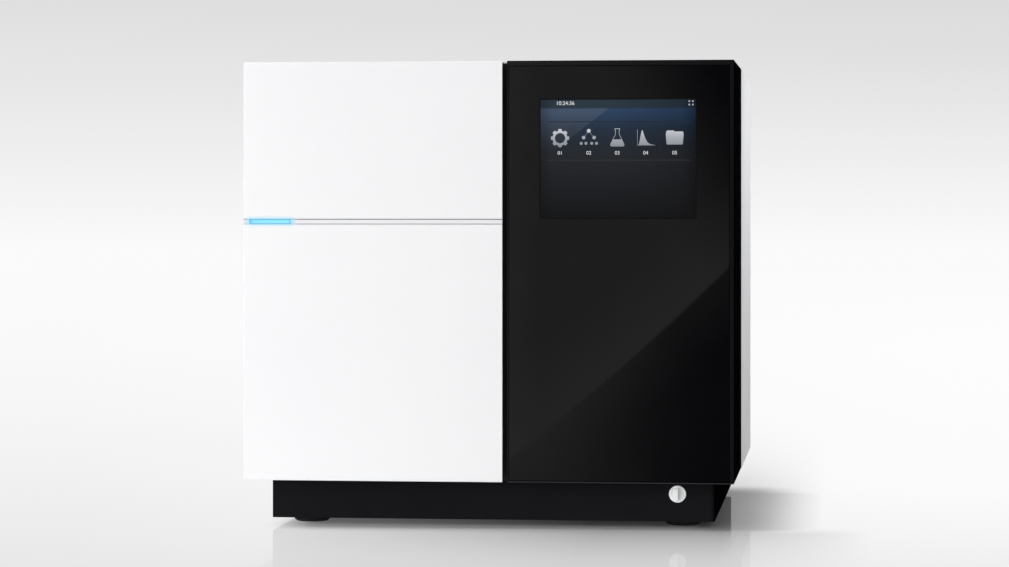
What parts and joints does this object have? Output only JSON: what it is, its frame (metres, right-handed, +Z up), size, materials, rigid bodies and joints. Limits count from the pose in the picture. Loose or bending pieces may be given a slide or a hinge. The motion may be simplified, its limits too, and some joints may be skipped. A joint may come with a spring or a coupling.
{
  "type": "combustion elemental analyser",
  "caption": "Bench analyser: hinged white door over a tube furnace, black glass front with a touch screen, push button in a set-back plinth, fan and fittings behind.",
  "frame": {"origin": "middle of the instrument's footprint, at the soles of the feet", "axes": "+Z up, -Y out of the front with the door and screen, +X to the right as the user faces it"},
  "size_m": [0.51, 0.539, 0.485],
  "materials": {
    "white_paint": "satin white powder coat",
    "white_gloss": "glossy white lacquer",
    "black_paint": "satin black paint",
    "black_gloss": "black backed polished glass",
    "black_plastic": "fine textured black",
    "black_rubber": "matt black",
    "display": "polished cover glass over the display",
    "light_bar": "clear diffuser, lit from behind",
    "grey_plastic": "mid grey",
    "grey_paint": "satin grey powder coat",
    "chrome": "polished",
    "zinc": "zinc plated",
    "steel": "fine turned stainless",
    "brass": "machined",
    "ceramic": "unglazed alumina",
    "quartz": "clear fused quartz",
    "circuit_board": "green solder mask",
    "clear_plastic": "clear tube over packed grains",
    "white_plastic": "moulded white"
  },
  "bodies": {
    "cabinet": {"plinth_skirt": "black_paint", "plinth_floor": "black_paint", "foot_front_left": "black_rubber", "foot_front_right": "black_rubber", "foot_rear_left": "black_rubber", "foot_rear_right": "black_rubber", "power_button_bezel": "chrome", "chassis_floor": "zinc", "partition": "white_paint", "compartment_back_wall": "white_paint", "compartment_frame": "black_plastic", "hinge_bracket_upper": "steel", "hinge_bracket_lower": "steel", "door_seal": "black_rubber", "magnet_catch": "zinc", "left_side_cover": "white_paint", "right_side_cover": "white_paint", "top_cover": "white_paint", "port_well": "grey_plastic", "furnace_casing": "zinc", "heater_core": "ceramic", "combustion_tube": "quartz", "injection_head": "steel", "tube_clamp": "steel", "outlet_joint": "quartz", "transfer_tube": "white_plastic", "dryer_body": "clear_plastic", "dryer_cap_upper": "white_plastic", "dryer_cap_lower": "white_plastic", "dryer_bracket": "steel", "dryer_outlet_tube": "white_plastic", "rear_panel": "grey_paint", "front_housing": "black_paint", "glass_front_panel": "black_gloss", "touch_screen": "display", "display_module": "zinc", "detector_module": "black_paint", "main_board": "circuit_board", "power_supply": "zinc", "gas_control_block": "steel", "fan_frame": "black_plastic", "fan_guard": "chrome", "mains_inlet": "black_plastic", "gas_inlet_left": "brass", "gas_inlet_right": "brass", "exhaust_outlet": "brass", "data_ports": "zinc"},
    "door": {"door_front_plate": "white_gloss", "door_trim_strip": "white_gloss", "status_light_lens": "light_bar", "status_light_board": "circuit_board", "door_frame": "black_plastic", "door_liner": "white_paint", "door_strike": "zinc"},
    "power_button": {"power_button_cap": "steel"},
    "lift_off_cover": {"port_cover": "white_plastic"},
    "septum_nut": {"septum_nut": "steel"},
    "fan_rotor": {"fan_rotor": "black_plastic"},
    "fuse_drawer": {"fuse_drawer": "black_plastic"},
    "mains_rocker": {"rocker_switch": "black_plastic"}
  },
  "joints": [
    {"name": "door_hinge", "type": "hinge", "parent": "cabinet", "child": "door", "pos_m": [-0.247, -0.2555, 0.2675], "axis": [0, 0, -1], "range_deg": [0, 110]},
    {"name": "power_button_press", "type": "slide", "parent": "cabinet", "child": "power_button", "axis": [0, 1, 0], "range_m": [0, 0.002], "stiffness_N_per_m": 800},
    {"name": "port_cover_lift", "type": "slide", "parent": "cabinet", "child": "lift_off_cover", "axis": [0, 0, 1], "range_m": [0, 0.04]},
    {"name": "septum_nut_turn", "type": "hinge", "parent": "cabinet", "child": "septum_nut", "pos_m": [-0.15, -0.1095, 0.455], "axis": [0, 0, 1], "continuous": true},
    {"name": "fan_spin", "type": "hinge", "parent": "cabinet", "child": "fan_rotor", "pos_m": [0.1369, 0.2352, 0.38], "axis": [0, 1, 0], "continuous": true},
    {"name": "fuse_drawer_pull", "type": "slide", "parent": "cabinet", "child": "fuse_drawer", "axis": [0, 1, 0], "range_m": [0, 0.018]},
    {"name": "mains_rocker_tilt", "type": "hinge", "parent": "cabinet", "child": "mains_rocker", "pos_m": [0.22, 0.2438, 0.1365], "axis": [1, 0, 0], "range_deg": [-18, 0]}
  ]
}
